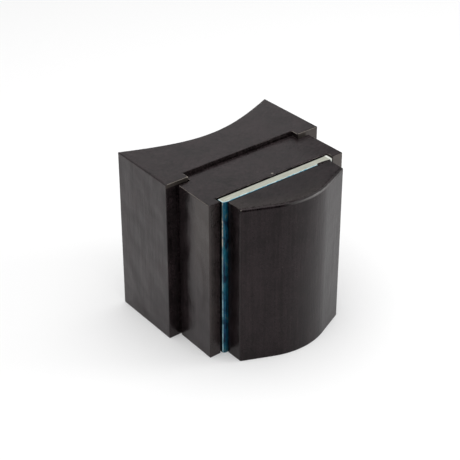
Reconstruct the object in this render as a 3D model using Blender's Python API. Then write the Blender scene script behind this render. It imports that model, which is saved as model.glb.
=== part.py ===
"""Rubber wheel stop block: a saddle, a spacer and a crowned nose on a steel plate, bolted up in a row.

The saddle at the back has a hollow rear face. The spacer is keyed into a groove in the saddle's front, and the
nose is bonded to a steel plate that stands in a slot in the spacer's front. Bolts run from the hollow through
steel sleeves into nuts on the plate, and clamp the row together.

Metres. +Z is up, the nose faces -Y, and the origin is on the floor under the middle of the block.
"""
import math

import bmesh
import bpy

# Steel plate
PLATE_WIDTH = 0.1155
PLATE_THICKNESS = 0.008
PLATE_CORNER_RADIUS = 0.003
PLATE_EDGE_RADIUS = 0.0006
PLATE_SINK = 0.0003

# Slot in the spacer that takes the plate, and groove in the saddle that takes the spacer's tongue
SLOT_DEPTH = 0.0068
GROOVE_DEPTH = 0.0074
GROOVE_INSET = 0.0014

# Saddle block, a little wider in front than at the back
SADDLE_HEIGHT = 0.150
SADDLE_LAND = 0.0225
SADDLE_DRAFT = 0.0015
SADDLE_WEB = 0.0472
HOLLOW_RADIUS = 0.109
HOLLOW_FLANK_SLOPE = 0.56

# Spacer block, a little wider in front than at the back
SPACER_DEPTH = 0.0414
SPACER_LAND = 0.011
SPACER_DRAFT = 0.0011
SPACER_STEP = 0.0032

# Nose block
NOSE_MARGIN = 0.0043
NOSE_SIDE_DEPTH = 0.0165
NOSE_TIP_RADIUS = 0.066
NOSE_FLANK_SLOPE = 0.445
NOSE_STEP = 0.0003

# Moulded edges of the rubber, and the rounder one along the front of the nose's top
RUBBER_EDGE_RADIUS = 0.0005
NOSE_CREST_RADIUS = 0.0022

# Bolts, washers, sleeves and nuts
BOLT_DIAMETER = 0.010
BOLT_SIDE_MARGIN = 0.017
BOLT_END_MARGIN = 0.036
BOLT_TAIL = 0.002
HEAD_HEIGHT = 0.010
HEAD_OVERHANG = 0.003
HEAD_CHAMFER = 0.0008
SOCKET_FLATS = 0.008
SOCKET_DEPTH = 0.005
WASHER_THICKNESS = 0.002
WASHER_RIM = 0.003
COUNTERBORE_DEPTH = 0.021
SLEEVE_WALL = 0.0025
NUT_WALL = 0.0035
NUT_HEIGHT = 0.008

# Clearances
FIT_GAP = 0.0003
PLATE_SIDE_CLEARANCE = 0.00125
PLATE_BACK_CLEARANCE = 0.00115
TONGUE_CLEARANCE = 0.0008
TONGUE_END_GAP = 0.0009
SHOULDER_GAP = 0.0015
BOLT_CLEARANCE = 0.0005
COUNTERBORE_CLEARANCE = 0.001
CUTTER_OVERRUN = 0.005

# Fineness of the curves
CROWN_STEPS = 48
CORNER_STEPS = 5
TURN_STEPS = 32
EDGE_STEPS = 2
SHARP_ANGLE = math.radians(30)


def hollow_rise(x):
    """Rise of the hollow at x from its middle: a curve that eases into straight flanks."""
    reach = HOLLOW_FLANK_SLOPE * HOLLOW_RADIUS
    return HOLLOW_FLANK_SLOPE * (math.hypot(reach, x) - reach)


def nose_fall(x):
    """Fall of the nose's front at x from its middle: a round arc that runs into straight flanks."""
    round_part = min(abs(x), NOSE_TIP_RADIUS * math.sin(math.atan(NOSE_FLANK_SLOPE)))
    arc = NOSE_TIP_RADIUS - math.sqrt(NOSE_TIP_RADIUS ** 2 - round_part ** 2)
    return arc + NOSE_FLANK_SLOPE * (abs(x) - round_part)


# Widths
SLOT_WIDTH = PLATE_WIDTH + 2 * PLATE_SIDE_CLEARANCE
GROOVE_WIDTH = SLOT_WIDTH - 2 * GROOVE_INSET
TONGUE_WIDTH = GROOVE_WIDTH - 2 * TONGUE_CLEARANCE
SADDLE_WIDTH = GROOVE_WIDTH + 2 * SADDLE_LAND
SADDLE_BACK_WIDTH = SADDLE_WIDTH - 2 * SADDLE_DRAFT
SPACER_WIDTH = SLOT_WIDTH + 2 * SPACER_LAND
SPACER_BACK_WIDTH = SPACER_WIDTH - 2 * SPACER_DRAFT
NOSE_WIDTH = PLATE_WIDTH - 2 * NOSE_MARGIN

# Heights
SPACER_HEIGHT = SADDLE_HEIGHT - SPACER_STEP
PLATE_HEIGHT = SPACER_HEIGHT - PLATE_SINK
NOSE_HEIGHT = PLATE_HEIGHT - NOSE_STEP

# Depths along Y, counted from the saddle's front face
HORN_Y = SADDLE_WEB + hollow_rise(SADDLE_BACK_WIDTH / 2)
TONGUE_Y = GROOVE_DEPTH - TONGUE_END_GAP
SPACER_BACK_Y = -SHOULDER_GAP
SPACER_FRONT_Y = SPACER_BACK_Y - SPACER_DEPTH
SLOT_Y = SPACER_FRONT_Y + SLOT_DEPTH
PLATE_BACK_Y = SLOT_Y - PLATE_BACK_CLEARANCE
PLATE_FRONT_Y = PLATE_BACK_Y - PLATE_THICKNESS
NOSE_BACK_Y = PLATE_FRONT_Y - FIT_GAP
NOSE_TIP_Y = NOSE_BACK_Y - NOSE_SIDE_DEPTH - nose_fall(NOSE_WIDTH / 2)
MIDDLE_Y = (HORN_Y + NOSE_TIP_Y) / 2

# Bolt lines: places across the block, and distances along each bolt from the floor of its counterbore
BOLT_X = NOSE_WIDTH / 2 - BOLT_SIDE_MARGIN
BOLT_LEVELS = {"lower": BOLT_END_MARGIN, "upper": PLATE_HEIGHT - BOLT_END_MARGIN}
BOLT_SIDES = {"left": -BOLT_X, "right": BOLT_X}
SEAT_Y = SADDLE_WEB + hollow_rise(BOLT_X) - COUNTERBORE_DEPTH
WASHER_AT = -FIT_GAP - WASHER_THICKNESS
HEAD_AT = WASHER_AT - FIT_GAP
PLATE_AT = SEAT_Y - PLATE_BACK_Y
NUT_AT = SEAT_Y - PLATE_FRONT_Y + FIT_GAP
BOLT_LENGTH = NUT_AT + NUT_HEIGHT + BOLT_TAIL - HEAD_AT
SLEEVE_LENGTH = PLATE_AT - FIT_GAP

# Radii of the round pieces and of the holes that take them
BOLT_RADIUS = BOLT_DIAMETER / 2
HEAD_RADIUS = BOLT_RADIUS + HEAD_OVERHANG
WASHER_RADIUS = HEAD_RADIUS + WASHER_RIM
BOLT_HOLE_RADIUS = BOLT_RADIUS + BOLT_CLEARANCE
SLEEVE_RADIUS = BOLT_HOLE_RADIUS + SLEEVE_WALL
SLEEVE_HOLE_RADIUS = SLEEVE_RADIUS + FIT_GAP
COUNTERBORE_RADIUS = WASHER_RADIUS + COUNTERBORE_CLEARANCE
NUT_FLATS = BOLT_DIAMETER + 2 * NUT_WALL

# Colours, as linear red, green and blue
RUBBER_COLOUR = (0.028, 0.026, 0.026)
ZINC_COLOUR = (0.60, 0.61, 0.56)
STEEL_COLOUR = (0.42, 0.43, 0.44)


def across(half_width):
    """Places from -half_width to half_width, spread evenly for a crowned face."""
    return [half_width * (2 * step / CROWN_STEPS - 1) for step in range(CROWN_STEPS + 1)]


def saddle_outline():
    """Plan of the saddle: a grooved front and a hollow back between two horns."""
    side = SADDLE_WIDTH / 2
    groove = GROOVE_WIDTH / 2
    front = [(-side, 0.0), (-groove, 0.0), (-groove, GROOVE_DEPTH)]
    front += [(-x, y) for x, y in reversed(front)]
    horn = SADDLE_BACK_WIDTH / 2
    return front + [(-x, SADDLE_WEB + hollow_rise(x)) for x in across(horn)]


def spacer_outline():
    """Plan of the spacer: a slotted front and a back with a tongue."""
    side = SPACER_WIDTH / 2
    shoulder = SPACER_BACK_WIDTH / 2
    slot = SLOT_WIDTH / 2
    tongue = TONGUE_WIDTH / 2
    left = [(-tongue, TONGUE_Y), (-tongue, SPACER_BACK_Y), (-shoulder, SPACER_BACK_Y)]
    left += [(-side, SPACER_FRONT_Y), (-slot, SPACER_FRONT_Y), (-slot, SLOT_Y)]
    return left + [(-x, y) for x, y in reversed(left)]


def plate_outline():
    """Plan of the plate: square at the back, rounded at the two front corners."""
    side = PLATE_WIDTH / 2
    left = [(-side, PLATE_BACK_Y)]
    for step in range(CORNER_STEPS + 1):
        turn = math.pi / 2 * step / CORNER_STEPS
        x = -side + PLATE_CORNER_RADIUS * (1 - math.cos(turn))
        y = PLATE_FRONT_Y + PLATE_CORNER_RADIUS * (1 - math.sin(turn))
        left.append((x, y))
    return left + [(-x, y) for x, y in reversed(left)]


def nose_outline():
    """Plan of the nose: a flat back, short straight sides and a crowned front."""
    side = NOSE_WIDTH / 2
    front = [(x, NOSE_TIP_Y + nose_fall(x)) for x in across(side)]
    return [(-side, NOSE_BACK_Y)] + front + [(side, NOSE_BACK_Y)]


def hexagon(flats):
    """Outline of a hexagon, given the distance across its flats."""
    corner = flats / math.sqrt(3)
    return [(corner * math.cos(math.pi / 3 * side), corner * math.sin(math.pi / 3 * side)) for side in range(6)]


def material(name, colour, roughness, metallic):
    """Plain shader with one colour."""
    finish = bpy.data.materials.new(name)
    finish.use_nodes = True
    shader = finish.node_tree.nodes["Principled BSDF"]
    shader.inputs["Base Color"].default_value = (*colour, 1.0)
    shader.inputs["Roughness"].default_value = roughness
    shader.inputs["Metallic"].default_value = metallic
    return finish


def rubber(name):
    """Matt black moulded rubber."""
    return material(name, RUBBER_COLOUR, 0.6, 0.0)


def zinc(name):
    """Zinc-plated steel."""
    return material(name, ZINC_COLOUR, 0.4, 1.0)


def empty(name, parent, place, turn=(0.0, 0.0, 0.0)):
    """Axes that other objects hang on."""
    axes = bpy.data.objects.new(name, None)
    axes.parent = parent
    axes.location = place
    axes.rotation_euler = turn
    bpy.context.collection.objects.link(axes)
    return axes


def add(name, bm, parent, along=0.0, finish=None):
    """Object made of a finished bmesh, set at a distance along its parent's Z axis."""
    bmesh.ops.recalc_face_normals(bm, faces=bm.faces)
    mesh = bpy.data.meshes.new(name)
    bm.to_mesh(mesh)
    bm.free()
    mesh.shade_smooth()
    mesh.set_sharp_from_angle(angle=SHARP_ANGLE)
    if finish:
        mesh.materials.append(finish)
    piece = bpy.data.objects.new(name, mesh)
    piece.parent = parent
    piece.location.z = along
    bpy.context.collection.objects.link(piece)
    return piece


def extruded(outline, height):
    """Prism on an outline, from 0 up to a height."""
    bm = bmesh.new()
    base = bm.faces.new([bm.verts.new((x, y, 0.0)) for x, y in outline])
    grown = bmesh.ops.extrude_face_region(bm, geom=[base])["geom"]
    top = [part for part in grown if isinstance(part, bmesh.types.BMVert)]
    bmesh.ops.translate(bm, verts=top, vec=(0.0, 0.0, height))
    return bm


def turned(profile, ring=False):
    """Body turned about Z from points of radius and height; a ring's profile closes on itself."""
    bm = bmesh.new()
    points = [bm.verts.new((radius, 0.0, height)) for radius, height in profile]
    ends = points[1:] + points[:1] if ring else points[1:]
    lines = [bm.edges.new(pair) for pair in zip(points, ends)]
    bmesh.ops.spin(bm, geom=points + lines, cent=(0, 0, 0), axis=(0, 0, 1), angle=math.tau,
                   steps=TURN_STEPS, use_merge=True)
    bmesh.ops.remove_doubles(bm, verts=bm.verts, dist=1e-6)
    return bm


def tube(inner, outer, length):
    """Straight tube."""
    return turned([(inner, 0.0), (outer, 0.0), (outer, length), (inner, length)], ring=True)


def rod(radius, start, end):
    """Straight round bar."""
    return turned([(0.0, start), (radius, start), (radius, end), (0.0, end)])


def cutter(name, bm, parent, along=0.0):
    """Body that is only cut away from others."""
    piece = add(name, bm, parent, along)
    piece.hide_render = True
    piece.display_type = "WIRE"
    return piece


def combine(piece, other, operation="DIFFERENCE"):
    """Boolean between a piece and a cutter."""
    step = piece.modifiers.new(other.name, "BOOLEAN")
    step.operation = operation
    step.object = other
    step.solver = "EXACT"


def round_edges(piece, radius, chosen_by="ANGLE"):
    """Fillet on every sharp edge of a piece, or on its weighted edges in proportion to their weight."""
    step = piece.modifiers.new("edges", "BEVEL")
    step.width = radius
    step.segments = EDGE_STEPS
    step.limit_method = chosen_by
    step.angle_limit = SHARP_ANGLE


def rubber_block(name, outline, height, parent):
    """Moulded block that stands on the floor."""
    block = add(name, extruded(outline, height), parent, finish=rubber(f"{name}_rubber"))
    round_edges(block, RUBBER_EDGE_RADIUS)
    return block


def nose_block(parent):
    """Crowned nose, rounder along the front of its top than along its other edges."""
    bm = extruded(nose_outline(), NOSE_HEIGHT)
    bm.normal_update()
    weight = bm.edges.layers.float.new("bevel_weight_edge")
    for edge in bm.edges:
        if edge.calc_face_angle() > SHARP_ANGLE:
            at_crest = all(point.co.z > FIT_GAP and point.co.y < NOSE_BACK_Y - FIT_GAP for point in edge.verts)
            edge[weight] = 1.0 if at_crest else RUBBER_EDGE_RADIUS / NOSE_CREST_RADIUS
    block = add("nose_block", bm, parent, finish=rubber("nose_block_rubber"))
    round_edges(block, NOSE_CREST_RADIUS, "WEIGHT")
    return block


def backing_plate(parent):
    """Sheared steel plate with the edges of its top and foot rolled over."""
    bm = extruded(plate_outline(), PLATE_HEIGHT)
    rolled = [edge for edge in bm.edges if abs(edge.verts[0].co.z - edge.verts[1].co.z) < FIT_GAP]
    bmesh.ops.bevel(bm, geom=rolled, offset=PLATE_EDGE_RADIUS, offset_type="OFFSET", segments=EDGE_STEPS,
                    profile=0.5, affect="EDGES", clamp_overlap=True)
    return add("backing_plate", bm, parent, finish=zinc("plate_zinc"))


def clamp_bolt(name, line):
    """Socket-head bolt whose head bears on its washer."""
    profile = [
        (0.0, -HEAD_HEIGHT),
        (HEAD_RADIUS - HEAD_CHAMFER, -HEAD_HEIGHT),
        (HEAD_RADIUS, HEAD_CHAMFER - HEAD_HEIGHT),
        (HEAD_RADIUS, 0.0),
        (BOLT_RADIUS, 0.0),
        (BOLT_RADIUS, BOLT_LENGTH - HEAD_CHAMFER),
        (BOLT_RADIUS - HEAD_CHAMFER, BOLT_LENGTH),
        (0.0, BOLT_LENGTH),
    ]
    bolt = add(name, turned(profile), line, HEAD_AT, zinc(f"{name}_zinc"))
    socket = extruded(hexagon(SOCKET_FLATS), SOCKET_DEPTH + CUTTER_OVERRUN)
    combine(bolt, cutter(f"{name}_socket", socket, line, HEAD_AT - HEAD_HEIGHT - CUTTER_OVERRUN))


def weld_nut(name, line):
    """Hexagon nut with its corners turned off, seated on the front of the plate."""
    corner = NUT_FLATS / math.sqrt(3)
    fall = (corner - NUT_FLATS / 2) * math.tan(math.radians(30))
    profile = [(0.0, 0.0), (NUT_FLATS / 2, 0.0), (corner, fall)]
    profile += [(radius, NUT_HEIGHT - height) for radius, height in reversed(profile)]
    finish = material(f"{name}_steel", STEEL_COLOUR, 0.45, 1.0)
    nut = add(name, extruded(hexagon(NUT_FLATS), NUT_HEIGHT), line, NUT_AT, finish)
    combine(nut, cutter(f"{name}_corners", turned(profile), line, NUT_AT), "INTERSECT")
    bore = rod(BOLT_RADIUS + FIT_GAP, -CUTTER_OVERRUN, NUT_HEIGHT + CUTTER_OVERRUN)
    combine(nut, cutter(f"{name}_bore", bore, line, NUT_AT))


def bolt_line(place, line, saddle, spacer, plate, nose):
    """One bolt with its washer, sleeve and nut, and the holes that they pass through."""
    clamp_bolt(f"clamp_bolt_{place}", line)
    washer = tube(BOLT_HOLE_RADIUS, WASHER_RADIUS, WASHER_THICKNESS)
    add(f"washer_{place}", washer, line, WASHER_AT, zinc(f"washer_{place}_zinc"))
    sleeve = tube(BOLT_HOLE_RADIUS, SLEEVE_RADIUS, SLEEVE_LENGTH)
    add(f"sleeve_{place}", sleeve, line, 0.0, material(f"sleeve_{place}_steel", STEEL_COLOUR, 0.45, 1.0))
    weld_nut(f"weld_nut_{place}", line)

    mouth = SEAT_Y - HORN_Y - CUTTER_OVERRUN
    stepped = [(0.0, mouth), (COUNTERBORE_RADIUS, mouth), (COUNTERBORE_RADIUS, 0.0)]
    stepped += [(SLEEVE_HOLE_RADIUS, 0.0), (SLEEVE_HOLE_RADIUS, PLATE_AT), (0.0, PLATE_AT)]
    bore = cutter(f"sleeve_bore_{place}", turned(stepped), line)
    combine(saddle, bore)
    combine(spacer, bore)

    plate_end = PLATE_AT + PLATE_THICKNESS + CUTTER_OVERRUN
    combine(plate, cutter(f"plate_hole_{place}", rod(BOLT_HOLE_RADIUS, PLATE_AT - CUTTER_OVERRUN, plate_end), line))
    pocket_depth = CUTTER_OVERRUN + NUT_HEIGHT + BOLT_TAIL + FIT_GAP
    pocket = extruded(hexagon(NUT_FLATS + 2 * FIT_GAP), pocket_depth)
    combine(nose, cutter(f"nut_pocket_{place}", pocket, line, NUT_AT - CUTTER_OVERRUN))


def main():
    for leftover in list(bpy.data.objects):
        bpy.data.objects.remove(leftover)
    root = empty("wheel_stop", None, (0.0, -MIDDLE_Y, 0.0))
    saddle = rubber_block("saddle_block", saddle_outline(), SADDLE_HEIGHT, root)
    spacer = rubber_block("spacer_block", spacer_outline(), SPACER_HEIGHT, root)
    plate = backing_plate(root)
    nose = nose_block(root)
    forward = (math.pi / 2, 0.0, 0.0)
    for level, z in BOLT_LEVELS.items():
        for side, x in BOLT_SIDES.items():
            place = f"{level}_{side}"
            line = empty(f"bolt_line_{place}", root, (x, SEAT_Y, z), forward)
            bolt_line(place, line, saddle, spacer, plate, nose)


main()
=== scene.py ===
"""Looks of the wheel stop block: worn black rubber and a blue zinc plate in plain studio light."""
import itertools
import math

import bmesh
import bpy
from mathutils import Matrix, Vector, noise


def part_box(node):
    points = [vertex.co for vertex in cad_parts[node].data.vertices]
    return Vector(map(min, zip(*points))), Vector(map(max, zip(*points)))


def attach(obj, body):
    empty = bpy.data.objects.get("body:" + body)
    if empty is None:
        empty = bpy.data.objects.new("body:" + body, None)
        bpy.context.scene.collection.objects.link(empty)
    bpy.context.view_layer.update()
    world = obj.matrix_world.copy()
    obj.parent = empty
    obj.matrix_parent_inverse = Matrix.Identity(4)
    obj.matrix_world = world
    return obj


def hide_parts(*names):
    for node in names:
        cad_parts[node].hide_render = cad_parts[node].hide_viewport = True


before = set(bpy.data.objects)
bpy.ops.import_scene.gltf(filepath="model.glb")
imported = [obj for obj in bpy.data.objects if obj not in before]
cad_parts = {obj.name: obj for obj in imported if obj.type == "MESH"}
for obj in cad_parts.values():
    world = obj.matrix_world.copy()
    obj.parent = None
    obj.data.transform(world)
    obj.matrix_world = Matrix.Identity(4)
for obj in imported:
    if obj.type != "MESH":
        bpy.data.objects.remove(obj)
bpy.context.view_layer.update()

# Camera, as fitted to the photograph
CAMERA_AZIMUTH = math.radians(-38.50)
CAMERA_ELEVATION = math.radians(31.92)
CAMERA_DISTANCE = 1.19465
CAMERA_AIM = Vector((-0.01291, 0.00809, 0.08101))
CAMERA_LENS = 110.88
CAMERA_SENSOR = 36.0

# Cells of the finer skins, and how far their faces ripple
RUBBER_GRID = 0.0025
RUBBER_RIPPLE = 0.00012
PLATE_GRID = 0.004
PLATE_RIPPLE = 0.00005
RIPPLE_WAVELENGTH = 0.030
FINE_RIPPLE_TIMES = 4
FINE_RIPPLE_SHARE = 0.4

# Limits by which the skins' meshes are welded, cut and smoothed
WELD_DISTANCE = 2e-6
CUT_TOLERANCE = 1e-7
SLIVER = 0.0004
LEVEL_DIGITS = 5
ALIGNED = 0.9999
COPLANAR_ANGLE = math.radians(0.05)
FOLD_ANGLE = math.radians(15)
FLAT_SPREAD = math.radians(35)
ROUND_SPREAD = math.radians(50)

# Worn edges: the point layer that marks them, their reach on each side, and how worn their borders are
WEAR_LAYER = "wear"
WEAR_REACH = 0.0012
BORDER_WEAR = 0.3

# Rubber of each block: places and reaches are in metres, and most other values are shares
RUBBERS = {
    "saddle_block": {
        "refraction": 1.38,
        "body": (0.0096, 0.0066, 0.0072),
        "noise_place": (0.0, 0.0, 0.0),
        "dust_and_light": {"left": 0.80, "left_end": -0.0588, "left_bottom": 0.147, "recess": 0.05, "right": 1.0},
        "wear": {"sides": 2.4, "front": 1.4, "front_ends": 1.4, "begins": -0.02, "full": 0.01},
        "chip": {"middle": (-0.0576, 0.0054, 0.150), "reach": 0.0024},
        "sag": {"begins": 0.0, "ends": 0.07, "depth": 0.0},
        "crest_highlight": 0.0,
        "pale_and_lit": {"crown": 0.0, "sides": 0.0},
    },
    "spacer_block": {
        "refraction": 1.38,
        "body": (0.0094, 0.0065, 0.0071),
        "noise_place": (0.3, 0.2, 0.2),
        "dust_and_light": {"left": 0.32, "left_end": -0.0690, "left_bottom": 0.0, "recess": 0.0, "right": 1.0},
        "wear": {"sides": 1.15, "front": 0.6, "front_ends": 0.0, "begins": -0.10, "full": -0.09},
        "chip": {"middle": (0.002, -0.0279, 0.1468), "reach": 0.0016},
        "sag": {"begins": 0.030, "ends": 0.110, "depth": 0.0069},
        "crest_highlight": 0.0,
        "pale_and_lit": {"crown": 0.0, "sides": 0.50},
    },
    "nose_block": {
        "refraction": 1.30,
        "body": (0.0068, 0.0046, 0.0052),
        "noise_place": (0.6, 0.4, 0.1),
        "dust_and_light": {"left": 0.0, "left_end": -0.0588, "left_bottom": 0.0, "recess": 0.0, "right": 0.0},
        "wear": {"sides": 0.7, "front": 0.0, "front_ends": 0.0, "begins": 0.06, "full": 0.07},
        "chip": {"middle": (-0.0535, -0.0570, 0.1462), "reach": 0.0024},
        "sag": {"begins": -0.030, "ends": 0.020, "depth": 0.0022},
        "crest_highlight": 0.95,
        "pale_and_lit": {"crown": 0.20, "sides": 0.0},
    },
}
SHEEN_TINT = (1.0, 0.87, 0.89, 1.0)

# Noises of the rubber: scale, or a scale for each axis, then detail and roughness
CLOUD = (45.0, 6.0, 0.68)
STREAK = ((330.0, 330.0, 14.0), 4.0, 0.6)
SPECK = (650.0, 3.0, 0.7)
PATCH = (150.0, 4.0, 0.65)
GRIT = (520.0, 2.0, 0.5)
BILLOW = (60.0, 1.0, 0.4)
GRAIN = (600.0, 3.0, 0.6)

# Ramps from here on: start and end, then the values there where these are fixed and aren't 0 and 1

# Mottling of the rubber: share of each noise, ramp from dark to pale, and both as shares of the body colour
CLOUD_SHARE = 0.35
STREAK_SHARE = 0.30
SPECK_SHARE = 0.35
MOTTLING = (0.42, 0.62)
DARK_SHARE = 0.20
PALE_SHARE = 2.50

# Dust and painted light on faces that look forward, in the recess of a block's front and on the lips beside
# it: the lips at the left above a height and at the right ends are painted lighter where light falls on
# them
DUST_AND_LIGHT_COLOUR = (0.060, 0.052, 0.045, 1.0)
FORWARD_FACES = (-0.9, -0.5, 1.0, 0.0)
RECESS_EDGE = (0.0570, 0.0578)
LIP_EDGE = (0.0578, 0.0588)
DUST_AND_LIGHT_FADE = 0.001
DUST_AND_LIGHT_PATCHES = (0.3, 0.6, 0.5, 1.0)

# Pale wear along the top's edges, by the turn of their faces, and on the chips
SCUFF_COLOUR = (0.210, 0.190, 0.165, 1.0)
SCUFF_SHARE = 0.9
FRONT_ENDS = (0.0585, 0.0590)
FRONT_EDGES = (-0.5, -0.3, 1.0, 0.0)
SIDE_EDGES = (0.35, 0.55)
TOP_EDGES = (0.3, 0.65)
CHIP_CORE = 0.4
WEAR_PATCHES = (0.25, 0.75, -0.45, 0.45)
WEAR_SHOWS = (0.45, 1.0)

# Painted highlight on the nose's round crest: how far its faces turn up, then its places along Y and X
CREST_HIGHLIGHT_COLOUR = (0.150, 0.147, 0.145, 1.0)
CREST_FOOT = (0.15, 0.35)
CREST_SHOULDER = (0.72, 0.86, 1.0, 0.25)
CREST_TOP = (0.97, 0.99, 1.0, 0.0)
CREST_BACK = (-0.050, -0.045, 1.0, 0.0)
CREST_LEFT = (-0.022, 0.010)
CREST_RIGHT = (0.015, 0.045, 1.0, 0.45)

# Paler band round the edge of the nose's top, by distance from the middle of its arc, and painted light on
# upper sides, lighter towards their top and front
CROWN_MIDDLE = (0.0, -0.0082, 0.0)
IN_PLAN = (1.0, 1.0, 0.0)
CROWN_EDGE = (0.050, 0.062)
FLAT_TOP = (0.98, 0.995)
CROWN_PALING_END = (0.010, 0.030, 1.0, 0.0)
SIDE_LIGHT_RISE = (0.048, 0.112)
SIDE_FACES = (0.6, 0.9)
SIDE_LIGHT_END = (-0.020, -0.010, 1.0, 0.0)

# Grit, roughness and small relief of the rubber, whose broad waves lie on its sides
GRIT_COLOUR = (0.075, 0.068, 0.060, 1.0)
GRIT_SHOWS = (0.73, 0.80, 0.0, 0.5)
RUBBER_ROUGHNESS = (0.3, 0.7, 0.17, 0.26)
WORN_ROUGHNESS = 0.25
BILLOW_FACES = (0.5, 0.9, 0.3, 1.0)
BILLOW_DEPTH = 0.0007
STREAK_DEPTH = 0.00012
GRAIN_DEPTH = 0.00010

# Noises of the plate: scale for each axis, detail, roughness and distortion
ZINC_STREAK = ((700.0, 700.0, 50.0), 4.0, 0.6, 0.6)
ZINC_CLOUD = ((260.0, 260.0, 110.0), 4.0, 0.65)
ZINC_FLECK = ((300.0, 300.0, 120.0), 3.0, 0.6)
ZINC_SHEAR = ((90.0, 900.0, 900.0), 4.0, 0.65)

# Colours of the plate's zinc, among them painted reflections on its corners and rims, a painted highlight
# and painted shade
ZINC = {
    "blue": (0.000, 0.032, 0.085, 1.0),
    "light_blue": (0.003, 0.100, 0.145, 1.0),
    "deep_blue": (0.000, 0.009, 0.028, 1.0),
    "grey_blue": (0.060, 0.110, 0.110, 1.0),
    "shaded_blue": (0.000, 0.006, 0.014, 1.0),
    # painted shade: the plate's ends, deep in the gaps beside the slot, are near black
    "side": (0.003, 0.004, 0.005, 1.0),
    # painted reflections on the rounded corners and rims, palest at the low corners
    "low_corner_reflection": (0.40, 0.68, 0.76, 1.0),
    "high_corner": (0.10, 0.14, 0.15, 1.0),
    "dim_corner": (0.06, 0.15, 0.20, 1.0),
    "fleck": (0.66, 0.58, 0.47, 1.0),
    "cream": (0.34, 0.35, 0.285, 1.0),
    "pale_cream": (0.52, 0.53, 0.46, 1.0),
    "burnished": (0.55, 0.69, 0.69, 1.0),
    "front_rim": (0.07, 0.36, 0.52, 1.0),
    "front_rim_glint": (0.58, 0.78, 0.82, 1.0),
    "back_rim_glint": (0.50, 0.72, 0.78, 1.0),
    "end_highlight": (0.74, 0.76, 0.70, 1.0),
    "gap_shade": (0.004, 0.004, 0.003, 1.0),
}

# Turn of the plate's faces: how far up for its top and its upright faces, and how far to the front or back
LEVEL_TURN = (0.90, 0.985)
UPRIGHT_TURN = (0.45, 0.75, 1.0, 0.0)
RIM_TURN = (-0.2, 0.0)
CORNER_TURN = (0.26, 0.40)
FACE_TURN = (0.52, 0.64)
SQUARE_TURN = (0.975, 0.997, 0.0, 0.25)

# Where the plate's noises change its colour
BLUE_STREAKS = (0.38, 0.62)
DEEP_CLOUDS = (0.50, 0.62)
GREY_CLOUDS = (0.42, 0.34)
DIM_CLOUDS = (0.46, 0.62)
RIM_CLOUDS = (0.44, 0.56)
FLECKS = (0.54, 0.64)
CREAM_TONES = (0.3, 0.7)
BURNISH_PATCHES = (0.40, 0.60)

# Places on the plate: heights on its corners, stretches inside its front and back, and its right end
CORNER_RISE = (0.03, 0.135)
FLECK_RISE = (0.080, 0.100)
BURNISH_STRETCH = (0.0004, 0.0014)
BACK_GAP_STRETCH = (0.0012, 0.0009)
TOP_RISE = (0.143, 0.145)
# Painted highlight along X on the top of the plate's right end, then painted shade in the gap at its very
# end
HIGHLIGHT_END = (0.0540, 0.0548)
END_GAP = (0.0563, 0.0569)

# Roughness and metal of the plate, from its top to its faces, its sheen and the depth of its shear marks
ZINC_ROUGHNESS = (0.3, 0.7, 0.26, 0.40)
ZINC_METAL = (0.0, 1.0, 0.35, 0.25)
ZINC_SHEEN = 0.15
SHEAR_DEPTH = 0.00002

# Steels of the fasteners by slot: name and colour of the material, and how the names of their nodes begin
STEELS = {
    "zinc_fasteners": {
        "name": "bright_zinc",
        "tone": (0.58, 0.59, 0.58),
        "nodes": ("clamp_bolt", "washer"),
    },
    "plain_steel": {
        "name": "drawn_steel",
        "tone": (0.42, 0.43, 0.44),
        "nodes": ("sleeve", "weld_nut"),
    },
}
STEEL_STAIN = (320.0, 4.0, 0.6)
STEEL_GRAIN = (2600.0, 2.0, 0.5)
STAIN_SHOWS = (0.35, 0.7)
STAIN_SHARE = 0.72
STEEL_ROUGHNESS = (0.3, 0.7, 0.28, 0.44)
STEEL_GRAIN_DEPTH = 0.0002
STEEL_GRAIN_STRENGTH = 0.12

# Faint raised oval on a block's left side: middle and reach along Y and Z, share that slopes, and height
PAD_NODE = "spacer_block"
PAD_MIDDLE = (-0.0168, 0.067)
PAD_REACH = (0.0160, 0.034)
PAD_RIM = 0.22
PAD_HEIGHT = 0.0005

# Place along X that parts this left side from the rest
PAD_SIDE = -0.066

# Moulding flash over the plate's front edge: ends along X, thickness, and reaches from end to end
FLASH_START = 0.0405
FLASH_END = 0.0538
FLASH_THICKNESS = 0.0003
FLASH_REACH = (0.0009, 0.0016, 0.0017, 0.0015, 0.0016, 0.0013, 0.0012, 0.0008, 0.0005, 0.0001)

# Section of the flash: root and bend from the plate's front and top, and the halving towards its tip
FLASH_ROOT = (-0.0016, -0.0008)
FLASH_BEND = (-0.0008, 0.0001)
FLASH_HALF = 0.5

# Walls as reflections see them: levels behind the block and ahead of it, and the turn between them along Y
WALL_BEHIND = 0.72
WALL_AHEAD = 0.10
WALL_TURN = (-0.4, 0.3)

# Dimmer part of the walls at the right: slope and blur of its border, and its share of the light
WALL_END_SLOPE = 1.0
WALL_END_BLUR = (-0.02, 0.02)
WALL_BEYOND = 0.25

# Even fill from all walls, and the floor's reach, colour and glow
WORLD_FILL = 0.55
FLOOR_REACH = 60.0
FLOOR_COLOUR = (0.90, 0.90, 0.90, 1.0)
FLOOR_GLOW = 0.2
WHITE = (1.0, 1.0, 1.0, 1.0)

# Soft square lamps: place, point that they are turned to, side and power
LAMPS = {
    "top": {"place": (-0.05, -0.05, 1.5), "target": (0.0, 0.0, 0.0), "size": 1.6, "power": 18.0},
    "side": {"place": (1.0, -0.66, 0.71), "target": (0.0, 0.0, 0.10), "size": 0.42, "power": 4.0},
}


def held(value, low, high):
    """A value kept between two limits."""
    return max(low, min(high, value))


def shade(colour, share=1.0):
    """Share of a colour, with the fourth part that sockets ask for."""
    return tuple(share * part for part in colour) + (1.0,)


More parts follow.
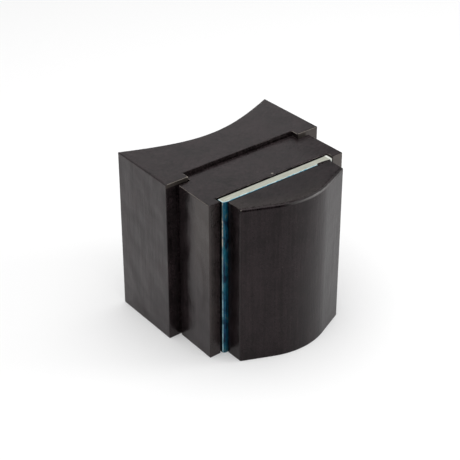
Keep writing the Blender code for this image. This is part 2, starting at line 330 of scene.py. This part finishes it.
class Tree:
    """Short way to write a shader's nodes."""

    def __init__(self, data):
        data.use_nodes = True
        self.tree = data.node_tree
        self.tree.nodes.clear()

    def node(self, kind, settings=None, **inputs):
        """Node with its settings, and its inputs by name, with _ for a space."""
        made = self.tree.nodes.new(kind)
        for name, value in (settings or {}).items():
            setattr(made, name, value)
        for name, value in inputs.items():
            self.set(made.inputs[name.replace("_", " ")], value)
        return made

    def set(self, socket, value):
        """Links a socket to another one, or gives it a constant."""
        if isinstance(value, bpy.types.NodeSocket):
            self.tree.links.new(value, socket)
        else:
            socket.default_value = value

    def places(self):
        """Coordinates of a piece's points."""
        return self.node("ShaderNodeTexCoord").outputs["Object"]

    def split(self, vector):
        """Parts of a vector by axis."""
        return self.node("ShaderNodeSeparateXYZ", Vector=vector).outputs

    def turns(self):
        """Parts of the faces' normals by axis."""
        return self.split(self.node("ShaderNodeNewGeometry").outputs["Normal"])

    def math(self, operation, first, second=0.0, clamp=False):
        made = self.node("ShaderNodeMath", {"operation": operation, "use_clamp": clamp})
        self.set(made.inputs[0], first)
        self.set(made.inputs[1], second)
        return made.outputs[0]

    def product(self, first, *others):
        for other in others:
            first = self.math("MULTIPLY", first, other)
        return first

    def total(self, first, *others):
        for other in others:
            first = self.math("ADD", first, other)
        return first

    def vector_math(self, operation, first, second):
        made = self.node("ShaderNodeVectorMath", {"operation": operation})
        self.set(made.inputs[0], first)
        self.set(made.inputs[1], second)
        return made.outputs

    def stretched(self, place, scale):
        """Coordinates scaled by a different amount along each axis."""
        return self.vector_math("MULTIPLY", place, scale)["Vector"]

    def distance(self, place, point):
        return self.vector_math("DISTANCE", place, point)["Value"]

    def ramp(self, value, low, high, out_low=0.0, out_high=1.0, shape="LINEAR"):
        """Line from (low, out_low) to (high, out_high), held at both ends."""
        made = self.node("ShaderNodeMapRange", {"interpolation_type": shape})
        for socket, number in zip(made.inputs, (value, low, high, out_low, out_high)):
            self.set(socket, number)
        return made.outputs[0]

    def mix(self, share, first, second):
        """Colour between two, the second by a share."""
        made = self.node("ShaderNodeMix", {"data_type": "RGBA"})
        self.set(made.inputs[0], share)
        self.set(made.inputs[6], first)
        self.set(made.inputs[7], second)
        return made.outputs[2]

    def layered(self, base, *layers):
        """Colour under layers, each of which is a share and a colour."""
        for share, colour in layers:
            base = self.mix(share, base, colour)
        return base

    def noise(self, place, scale, detail, roughness, distortion=0.0):
        made = self.node("ShaderNodeTexNoise", Vector=place, Scale=scale, Detail=detail,
                         Roughness=roughness, Distortion=distortion)
        return made.outputs["Fac"]

    def drawn_noise(self, place, stretch, *character):
        """Noise with its own scale along each axis."""
        return self.noise(self.stretched(place, stretch), 1.0, *character)

    def bump(self, height, distance, below=None, strength=1.0):
        """Normal that a height of up to a distance gives, on top of another such normal."""
        made = self.node("ShaderNodeBump", Strength=strength, Distance=distance, Height=height)
        if below is not None:
            self.set(made.inputs["Normal"], below)
        return made.outputs[0]


class RubberTree(Tree):
    """Nodes of a rubber, with the places, turns and noises that its layers share."""

    def __init__(self, material, noise_place):
        super().__init__(material)
        self.where = self.places()
        self.spot = self.split(self.where)
        self.width = self.math("ABSOLUTE", self.spot["X"])
        self.facing = self.turns()
        self.aside = self.math("ABSOLUTE", self.facing["X"])
        self.place = self.node("ShaderNodeMapping", Vector=self.where, Location=noise_place).outputs[0]
        self.cloud = self.noise(self.place, *CLOUD)
        self.streak = self.drawn_noise(self.place, *STREAK)

    def mottled(self, body):
        """Colour of the bare rubber."""
        tone = self.total(
            self.product(self.cloud, CLOUD_SHARE),
            self.product(self.streak, STREAK_SHARE),
            self.product(self.noise(self.place, *SPECK), SPECK_SHARE),
        )
        return self.mix(self.ramp(tone, *MOTTLING), shade(body, DARK_SHARE), shade(body, PALE_SHARE))

    def dusted_and_lit(self, left, left_end, left_bottom, recess, right):
        """Share of dust and painted light on forward faces: dust and painted light at the left above a
        height and at the right, dust in the recess.
        """
        dust_and_light_places = self.total(
            self.product(
                self.ramp(self.spot["X"], left_end, -LIP_EDGE[0], left, 0.0),
                self.ramp(self.spot["Z"], left_bottom - DUST_AND_LIGHT_FADE, left_bottom),
            ),
            self.ramp(self.width, *RECESS_EDGE, recess, 0.0),
            self.ramp(self.spot["X"], *LIP_EDGE, 0.0, right),
        )
        forward = self.ramp(self.facing["Y"], *FORWARD_FACES)
        return self.product(forward, dust_and_light_places, self.ramp(self.cloud, *DUST_AND_LIGHT_PATCHES))

    def worn(self, wear, chip):
        """Share of pale wear: in patches along the top's front and side edges, and on a chip."""
        front = self.total(
            self.product(
                self.ramp(self.spot["X"], wear["begins"], wear["full"], 0.0, wear["front"]),
                self.ramp(self.width, *FRONT_ENDS, 1.0, 0.0),
            ),
            self.ramp(self.width, *FRONT_ENDS, 0.0, wear["front_ends"]),
        )
        front = self.product(front, self.ramp(self.facing["Y"], *FRONT_EDGES))
        sides = self.ramp(self.aside, *SIDE_EDGES, 0.0, wear["sides"])
        exposed = self.node("ShaderNodeAttribute", {"attribute_name": WEAR_LAYER}).outputs["Fac"]
        edges = self.product(exposed, self.total(front, sides), self.ramp(self.facing["Z"], *TOP_EDGES))
        away = self.distance(self.where, chip["middle"])
        chipped = self.ramp(away, CHIP_CORE * chip["reach"], chip["reach"], 1.0, 0.0)
        patches = self.ramp(self.noise(self.place, *PATCH), *WEAR_PATCHES)
        return self.ramp(self.total(edges, chipped, patches), *WEAR_SHOWS)

    def painted_crest_highlight(self, crest_highlight):
        """Share of painted highlight on the round crest."""
        return self.product(
            self.ramp(self.facing["Z"], *CREST_FOOT, 0.0, crest_highlight),
            self.ramp(self.facing["Z"], *CREST_SHOULDER),
            self.ramp(self.facing["Z"], *CREST_TOP),
            self.ramp(self.spot["Y"], *CREST_BACK),
            self.ramp(self.spot["X"], *CREST_LEFT),
            self.ramp(self.spot["X"], *CREST_RIGHT),
        )

    def paled_and_lit(self, crown, sides):
        """Share of a paler band round the edge of the crown's flat top, and of painted light on the upper
        sides.
        """
        spread = self.distance(self.stretched(self.where, IN_PLAN), CROWN_MIDDLE)
        above = self.product(
            self.ramp(spread, *CROWN_EDGE, 0.0, crown),
            self.ramp(self.facing["Z"], *FLAT_TOP),
            self.ramp(self.spot["X"], *CROWN_PALING_END),
        )
        beside = self.product(
            self.ramp(self.spot["Z"], *SIDE_LIGHT_RISE, 0.0, sides),
            self.ramp(self.aside, *SIDE_FACES),
            self.ramp(self.spot["Y"], *SIDE_LIGHT_END),
        )
        return self.total(above, beside)

    def relief(self, begins, ends, depth):
        """Normal with waves, streaks and grain, and with a slow fall along X by a depth."""
        billow = self.product(self.noise(self.place, *BILLOW), self.ramp(self.aside, *BILLOW_FACES))
        normal = self.bump(billow, BILLOW_DEPTH)
        normal = self.bump(self.streak, STREAK_DEPTH, normal)
        normal = self.bump(self.noise(self.place, *GRAIN), GRAIN_DEPTH, normal)
        fall = self.ramp(self.spot["X"], begins, ends, 1.0, 0.0, "SMOOTHSTEP")
        return self.bump(fall, depth, normal)


def rubber_material(name, refraction, body, noise_place, dust_and_light, wear, chip, sag, crest_highlight, pale_and_lit):
    """Black moulded rubber: mottled, faintly streaked, dusty and painted lighter in front, worn pale along
    its top edges, with a painted highlight on a crest and painted light on upper sides.
    """
    material = bpy.data.materials.new(name)
    tree = RubberTree(material, noise_place)
    worn = tree.worn(wear, chip)
    base = tree.layered(
        tree.mottled(body),
        # dust, and painted light on the lips at the left and right ends
        (tree.dusted_and_lit(**dust_and_light), DUST_AND_LIGHT_COLOUR),
        (tree.product(worn, SCUFF_SHARE), SCUFF_COLOUR),
        # painted highlight on the nose's crest
        (tree.painted_crest_highlight(crest_highlight), CREST_HIGHLIGHT_COLOUR),
        # paler band round the crown's top, and painted light on upper sides
        (tree.paled_and_lit(**pale_and_lit), DUST_AND_LIGHT_COLOUR),
        (tree.ramp(tree.noise(tree.place, *GRIT), *GRIT_SHOWS), GRIT_COLOUR),
    )
    rough = tree.total(tree.ramp(tree.cloud, *RUBBER_ROUGHNESS), tree.product(worn, WORN_ROUGHNESS))
    shader = tree.node("ShaderNodeBsdfPrincipled", Base_Color=base, Roughness=rough, IOR=refraction,
                       Specular_Tint=SHEEN_TINT, Normal=tree.relief(**sag))
    tree.node("ShaderNodeOutputMaterial", Surface=shader.outputs[0])
    return material


class PlateTree(Tree):
    """Nodes of the plate, with the places, turns and noises that its layers share."""

    def __init__(self, material):
        super().__init__(material)
        place = self.places()
        self.spot = self.split(place)
        self.facing = self.turns()
        self.rise = self.math("ABSOLUTE", self.facing["Z"])
        self.streak = self.drawn_noise(place, *ZINC_STREAK)
        self.cloud = self.drawn_noise(place, *ZINC_CLOUD)
        self.fleck = self.drawn_noise(place, *ZINC_FLECK)
        self.shear = self.drawn_noise(place, *ZINC_SHEAR)

    def corners(self):
        """Colour of the rounded corners: a painted pale reflection, palest below, dimmed in clouds, and
        flecked above.
        """
        flecks = self.product(self.ramp(self.fleck, *FLECKS), self.ramp(self.spot["Z"], *FLECK_RISE))
        return self.layered(
            ZINC["low_corner_reflection"],
            (self.ramp(self.spot["Z"], *CORNER_RISE), ZINC["high_corner"]),
            (self.ramp(self.cloud, *DIM_CLOUDS), ZINC["dim_corner"]),
            (flecks, ZINC["fleck"]),
        )

    def faces(self):
        """Colour of the upright faces: blue in streaks and clouds, with pale corners of painted reflection,
        black sides of painted shade, and a darker blue of painted shade where they look straight ahead or
        back.
        """
        blue = self.layered(
            ZINC["blue"],
            (self.ramp(self.streak, *BLUE_STREAKS), ZINC["light_blue"]),
            (self.ramp(self.cloud, *DEEP_CLOUDS), ZINC["deep_blue"]),
            (self.ramp(self.cloud, *GREY_CLOUDS), ZINC["grey_blue"]),
        )
        turn = self.math("ABSOLUTE", self.facing["Y"])
        return self.layered(
            ZINC["side"],
            (self.ramp(turn, *CORNER_TURN), self.corners()),
            (self.ramp(turn, *FACE_TURN), blue),
            (self.ramp(turn, *SQUARE_TURN), ZINC["shaded_blue"]),
        )

    def top(self, front, back):
        """Colour of the sheared top: cream, burnished in front, with blue rims that carry painted glints,
        and a black back line of painted shade.
        """
        burnish = (front + BURNISH_STRETCH[0], front + BURNISH_STRETCH[1], 1.0, 0.0)
        back_gap = (back - BACK_GAP_STRETCH[0], back - BACK_GAP_STRETCH[1])
        patches = self.ramp(self.shear, *BURNISH_PATCHES)
        burnished = self.product(self.ramp(self.spot["Y"], *burnish), patches)
        level = self.layered(
            ZINC["cream"],
            (self.ramp(self.shear, *CREAM_TONES), ZINC["pale_cream"]),
            (burnished, ZINC["burnished"]),
        )
        return self.layered(
            ZINC["front_rim"],
            (self.ramp(self.cloud, *RIM_CLOUDS), ZINC["front_rim_glint"]),
            (self.ramp(self.facing["Y"], *RIM_TURN), ZINC["back_rim_glint"]),
            (self.ramp(self.rise, *LEVEL_TURN), level),
            # painted shade line along the back, in the gap by the slot's wall
            (self.ramp(self.spot["Y"], *back_gap), ZINC["gap_shade"]),
        )


def plate_material(front, back):
    """Zinc plate: blue passivated faces, pale flecked corners, and a cream sheared top, with painted
    reflections on corners and rims, a painted highlight at the right end and painted shade in the gaps.
    """
    material = bpy.data.materials.new("blue_zinc")
    tree = PlateTree(material)
    upright = tree.ramp(tree.rise, *UPRIGHT_TURN)
    high = tree.ramp(tree.spot["Z"], *TOP_RISE)
    base = tree.layered(
        tree.top(front, back),
        (upright, tree.faces()),
        # painted highlight on the top of the plate's right end
        (tree.product(tree.ramp(tree.spot["X"], *HIGHLIGHT_END), high), ZINC["end_highlight"]),
        # painted shade in the gap at the plate's very end
        (tree.product(tree.ramp(tree.spot["X"], *END_GAP), high), ZINC["gap_shade"]),
    )
    shader = tree.node("ShaderNodeBsdfPrincipled", Base_Color=base, Specular_IOR_Level=ZINC_SHEEN,
                       Roughness=tree.ramp(tree.streak, *ZINC_ROUGHNESS),
                       Metallic=tree.ramp(upright, *ZINC_METAL),
                       Normal=tree.bump(tree.shear, SHEAR_DEPTH))
    tree.node("ShaderNodeOutputMaterial", Surface=shader.outputs[0])
    return material


def steel_material(name, tone):
    """Zinc-plated or drawn steel with fine turning marks and small stains."""
    material = bpy.data.materials.new(name)
    tree = Tree(material)
    place = tree.places()
    stain = tree.noise(place, *STEEL_STAIN)
    grain = tree.noise(place, *STEEL_GRAIN)
    base = tree.mix(tree.ramp(stain, *STAIN_SHOWS), shade(tone), shade(tone, STAIN_SHARE))
    normal = tree.bump(grain, STEEL_GRAIN_DEPTH, strength=STEEL_GRAIN_STRENGTH)
    shader = tree.node("ShaderNodeBsdfPrincipled", Base_Color=base, Normal=normal, Metallic=1.0,
                       Roughness=tree.ramp(grain, *STEEL_ROUGHNESS))
    tree.node("ShaderNodeOutputMaterial", Surface=shader.outputs[0])
    return material


def cut_places(bm, axis, step):
    """Places to cut a mesh along an axis: an even grid, and a line on each side of its flat faces."""
    points = [point.co[axis] for point in bm.verts]
    low = min(points)
    high = max(points)
    flat = [face for face in bm.faces if abs(face.normal[axis]) > ALIGNED]
    levels = {round(face.verts[0].co[axis], LEVEL_DIGITS) for face in flat}
    beside = [level + side * WEAR_REACH for level in sorted(levels) for side in (-1, 1)]
    count = round((high - low) / step)
    places = [place for place in beside if low + SLIVER < place < high - SLIVER]
    for number in range(1, count):
        place = low + (high - low) * number / count
        if all(abs(place - other) > 2 * SLIVER for other in beside):
            places.append(place)
    return places


def sliced(bm, step):
    """Cuts a mesh into a grid of cells, so that its faces can ripple and its edges can wear."""
    for axis in range(3):
        normal = Vector((0.0, 0.0, 0.0))
        normal[axis] = 1.0
        for place in cut_places(bm, axis, step):
            geometry = bm.verts[:] + bm.edges[:] + bm.faces[:]
            bmesh.ops.bisect_plane(bm, geom=geometry, dist=CUT_TOLERANCE,
                                   plane_co=normal * place, plane_no=normal)


def rounded_faces(bm):
    """Faces of the small fillets: strips with a fold along both sides."""
    folds = {edge for edge in bm.edges if abs(edge.calc_face_angle_signed(0.0)) > FOLD_ANGLE}
    rounded = set()
    for face in bm.faces:
        sides = [edge for edge in face.edges if edge in folds]
        pairs = itertools.combinations(sides, 2)
        apart = any(not set(one.verts) & set(other.verts) for one, other in pairs)
        if apart or len(sides) > 2:
            rounded.add(face)
    return rounded


def mark_wear(bm, rounded):
    """Writes how exposed each point is: 1 inside an outer fillet, less on its borders, 0 elsewhere."""
    layer = bm.verts.layers.float.new(WEAR_LAYER)
    for point in bm.verts:
        sharpest = max(edge.calc_face_angle_signed(0.0) for edge in point.link_edges)
        if sharpest > FOLD_ANGLE:
            crest = all(face in rounded for face in point.link_faces)
            point[layer] = 1.0 if crest else BORDER_WEAR


def corner_normals(bm, rounded):
    """Normals that keep flat faces flat, so that only the fillets turn from one face to the next."""
    normals = []
    for face in bm.faces:
        for corner in face.loops:
            near = corner.vert.link_faces
            chosen = [other for other in near
                      if other not in rounded and other.normal.angle(face.normal) < FLAT_SPREAD]
            if not chosen:
                chosen = [other for other in near if other.normal.angle(face.normal) < ROUND_SPREAD]
            total = Vector()
            for other in chosen:
                total += other.normal * other.calc_area()
            normals.append(total.normalized())
    return normals


def rippled(bm, depth):
    """Lets the moulded faces wander inwards by up to a depth."""
    bm.normal_update()
    for point in bm.verts:
        broad = noise.noise(point.co / RIPPLE_WAVELENGTH)
        fine = noise.noise(FINE_RIPPLE_TIMES * point.co / RIPPLE_WAVELENGTH)
        wave = held(broad + FINE_RIPPLE_SHARE * fine, -1.0, 1.0)
        inwards = depth * (0.5 + 0.5 * wave)
        point.co -= point.normal * inwards
    bm.normal_update()


def raise_pad(bm):
    """Lifts the faint oval pad on a block's left side."""
    for point in bm.verts:
        if point.co.x < PAD_SIDE:
            along = (point.co.y - PAD_MIDDLE[0]) / PAD_REACH[0]
            upwards = (point.co.z - PAD_MIDDLE[1]) / PAD_REACH[1]
            share = (1.0 - math.hypot(along, upwards)) / PAD_RIM
            point.co.x -= PAD_HEIGHT * held(share, 0.0, 1.0)


def placed(bm, name, material):
    """Object in the scene, made of a finished mesh."""
    mesh = bpy.data.meshes.new(name)
    bm.to_mesh(mesh)
    bm.free()
    mesh.materials.append(material)
    piece = bpy.data.objects.new(name, mesh)
    bpy.context.collection.objects.link(piece)
    return piece


def add_skin(node, step, ripple, material):
    """Finer copy of a CAD node's surface that stands for the node."""
    bm = bmesh.new()
    bm.from_mesh(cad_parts[node].data)
    bmesh.ops.remove_doubles(bm, verts=bm.verts, dist=WELD_DISTANCE)
    bmesh.ops.dissolve_limit(bm, angle_limit=COPLANAR_ANGLE, verts=bm.verts, edges=bm.edges)
    strip = bm.faces.layers.int.new("strip")
    for face in rounded_faces(bm):
        face[strip] = 1
    sliced(bm, step)
    rounded = {face for face in bm.faces if face[strip]}
    mark_wear(bm, rounded)
    if node == PAD_NODE:
        raise_pad(bm)
    rippled(bm, ripple)
    normals = corner_normals(bm, rounded)
    piece = placed(bm, f"{node}_skin", material)
    piece.data.shade_smooth()
    piece.data.normals_split_custom_set(normals)
    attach(piece, "root")
    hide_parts(node)


def flash_section(front, top, reach):
    """Points of the flash along Y and Z, from its root to its tip on the plate."""
    return [
        (front + FLASH_ROOT[0], top + FLASH_ROOT[1]),
        (front + FLASH_BEND[0], top + FLASH_BEND[1]),
        (front + FLASH_HALF * reach, top + FLASH_THICKNESS),
        (front + reach, top + FLASH_HALF * FLASH_THICKNESS),
        (front + reach, top),
    ]


def add_flash(front, top, material):
    """Thin tongue of moulding flash from the nose's top over the plate's front edge, at its right end."""
    bm = bmesh.new()
    rings = []
    for number, reach in enumerate(FLASH_REACH):
        x = FLASH_START + (FLASH_END - FLASH_START) * number / (len(FLASH_REACH) - 1)
        rings.append([bm.verts.new((x, y, z)) for y, z in flash_section(front, top, reach)])
    for one, other in zip(rings, rings[1:]):
        for step in range(len(one)):
            after = (step + 1) % len(one)
            bm.faces.new((one[step], one[after], other[after], other[step]))
    bm.faces.new(rings[0])
    bm.faces.new(rings[-1])
    bmesh.ops.recalc_face_normals(bm, faces=bm.faces)
    piece = placed(bm, "nose_flash", material)
    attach(piece, "root")


def dress_node(node, material):
    """Gives a CAD node that stays in view its finish and smooth round sides."""
    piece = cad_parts[node]
    piece.data.materials.clear()
    piece.data.materials.append(material)
    weld = piece.modifiers.new("weld", "WELD")
    weld.merge_threshold = WELD_DISTANCE
    piece.data.shade_smooth()


def add_camera():
    """Long-lens camera that looks down on the block from its front left."""
    level = math.cos(CAMERA_ELEVATION)
    back = Vector((
        math.sin(CAMERA_AZIMUTH) * level,
        -math.cos(CAMERA_AZIMUTH) * level,
        math.sin(CAMERA_ELEVATION),
    ))
    lens = bpy.data.cameras.new("camera")
    lens.lens = CAMERA_LENS
    lens.sensor_width = CAMERA_SENSOR
    camera = bpy.data.objects.new("camera", lens)
    camera.location = CAMERA_AIM + back * CAMERA_DISTANCE
    camera.rotation_euler = (-back).to_track_quat("-Z", "Y").to_euler()
    bpy.context.collection.objects.link(camera)
    bpy.context.scene.camera = camera


def seen_ray(tree):
    """One for rays from the eye or a reflection, nought for rays that only carry light."""
    path = tree.node("ShaderNodeLightPath").outputs
    seen = tree.math("ADD", path["Is Camera Ray"], path["Is Glossy Ray"])
    return tree.math("ADD", seen, path["Is Transmission Ray"], clamp=True)


def floor_material():
    """Pale paint that glows a little, so that it looks white."""
    material = bpy.data.materials.new("floor_paint")
    tree = Tree(material)
    paint = tree.node("ShaderNodeBsdfDiffuse", Color=FLOOR_COLOUR)
    glow = tree.node("ShaderNodeEmission", Color=WHITE, Strength=1.0)
    shader = tree.node("ShaderNodeMixShader", Fac=tree.product(seen_ray(tree), FLOOR_GLOW))
    tree.set(shader.inputs[1], paint.outputs[0])
    tree.set(shader.inputs[2], glow.outputs[0])
    tree.node("ShaderNodeOutputMaterial", Surface=shader.outputs[0])
    return material


def add_floor():
    """Plain floor that keeps the block's shadow."""
    bm = bmesh.new()
    bmesh.ops.create_grid(bm, x_segments=1, y_segments=1, size=FLOOR_REACH)
    floor = placed(bm, "floor", floor_material())


def add_lamp(name, place, target, size, power):
    """Soft square lamp turned towards a point."""
    lamp = bpy.data.lights.new(name, "AREA")
    lamp.size = size
    lamp.energy = power
    holder = bpy.data.objects.new(name, lamp)
    holder.location = place
    holder.rotation_euler = (Vector(target) - Vector(place)).to_track_quat("-Z", "Y").to_euler()
    bpy.context.collection.objects.link(holder)


def add_world():
    """Studio that is bright behind the block and dim ahead of it in reflections, with an even fill."""
    world = bpy.data.worlds.new("studio")
    bpy.context.scene.world = world
    tree = Tree(world)
    towards = tree.split(tree.node("ShaderNodeTexCoord").outputs["Generated"])
    walls = tree.ramp(towards["Y"], *WALL_TURN, WALL_AHEAD, WALL_BEHIND)
    border = tree.math("SUBTRACT", tree.product(towards["Y"], WALL_END_SLOPE), towards["X"])
    walls = tree.product(walls, tree.ramp(border, *WALL_END_BLUR, WALL_BEYOND, 1.0))
    strength = tree.ramp(seen_ray(tree), 0.0, 1.0, WORLD_FILL, walls)
    sky = tree.node("ShaderNodeBackground", Color=WHITE, Strength=strength)
    tree.node("ShaderNodeOutputWorld", Surface=sky.outputs[0])


def add_rubbers_and_plate():
    """Skins of the three blocks and the plate, and the flash between nose and plate."""
    rubbers = {node: rubber_material(f"{node}_rubber", **mix) for node, mix in RUBBERS.items()}
    for node, rubber in rubbers.items():
        add_skin(node, RUBBER_GRID, RUBBER_RIPPLE, rubber)
    low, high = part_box("backing_plate")
    zinc = plate_material(low.y, high.y)
    add_skin("backing_plate", PLATE_GRID, PLATE_RIPPLE, zinc)
    add_flash(low.y, high.z, rubbers["nose_block"])


def dress_fasteners():
    """Steel on the bolts, washers, sleeves and nuts."""
    for slot, steel in STEELS.items():
        material = steel_material(steel["name"], steel["tone"])
        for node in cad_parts:
            if node.startswith(steel["nodes"]):
                dress_node(node, material)


add_rubbers_and_plate()
dress_fasteners()
add_camera()
add_floor()
add_world()
for lamp_name, lamp_values in LAMPS.items():
    add_lamp(lamp_name, **lamp_values)
bpy.context.scene.view_settings.view_transform = "Standard"
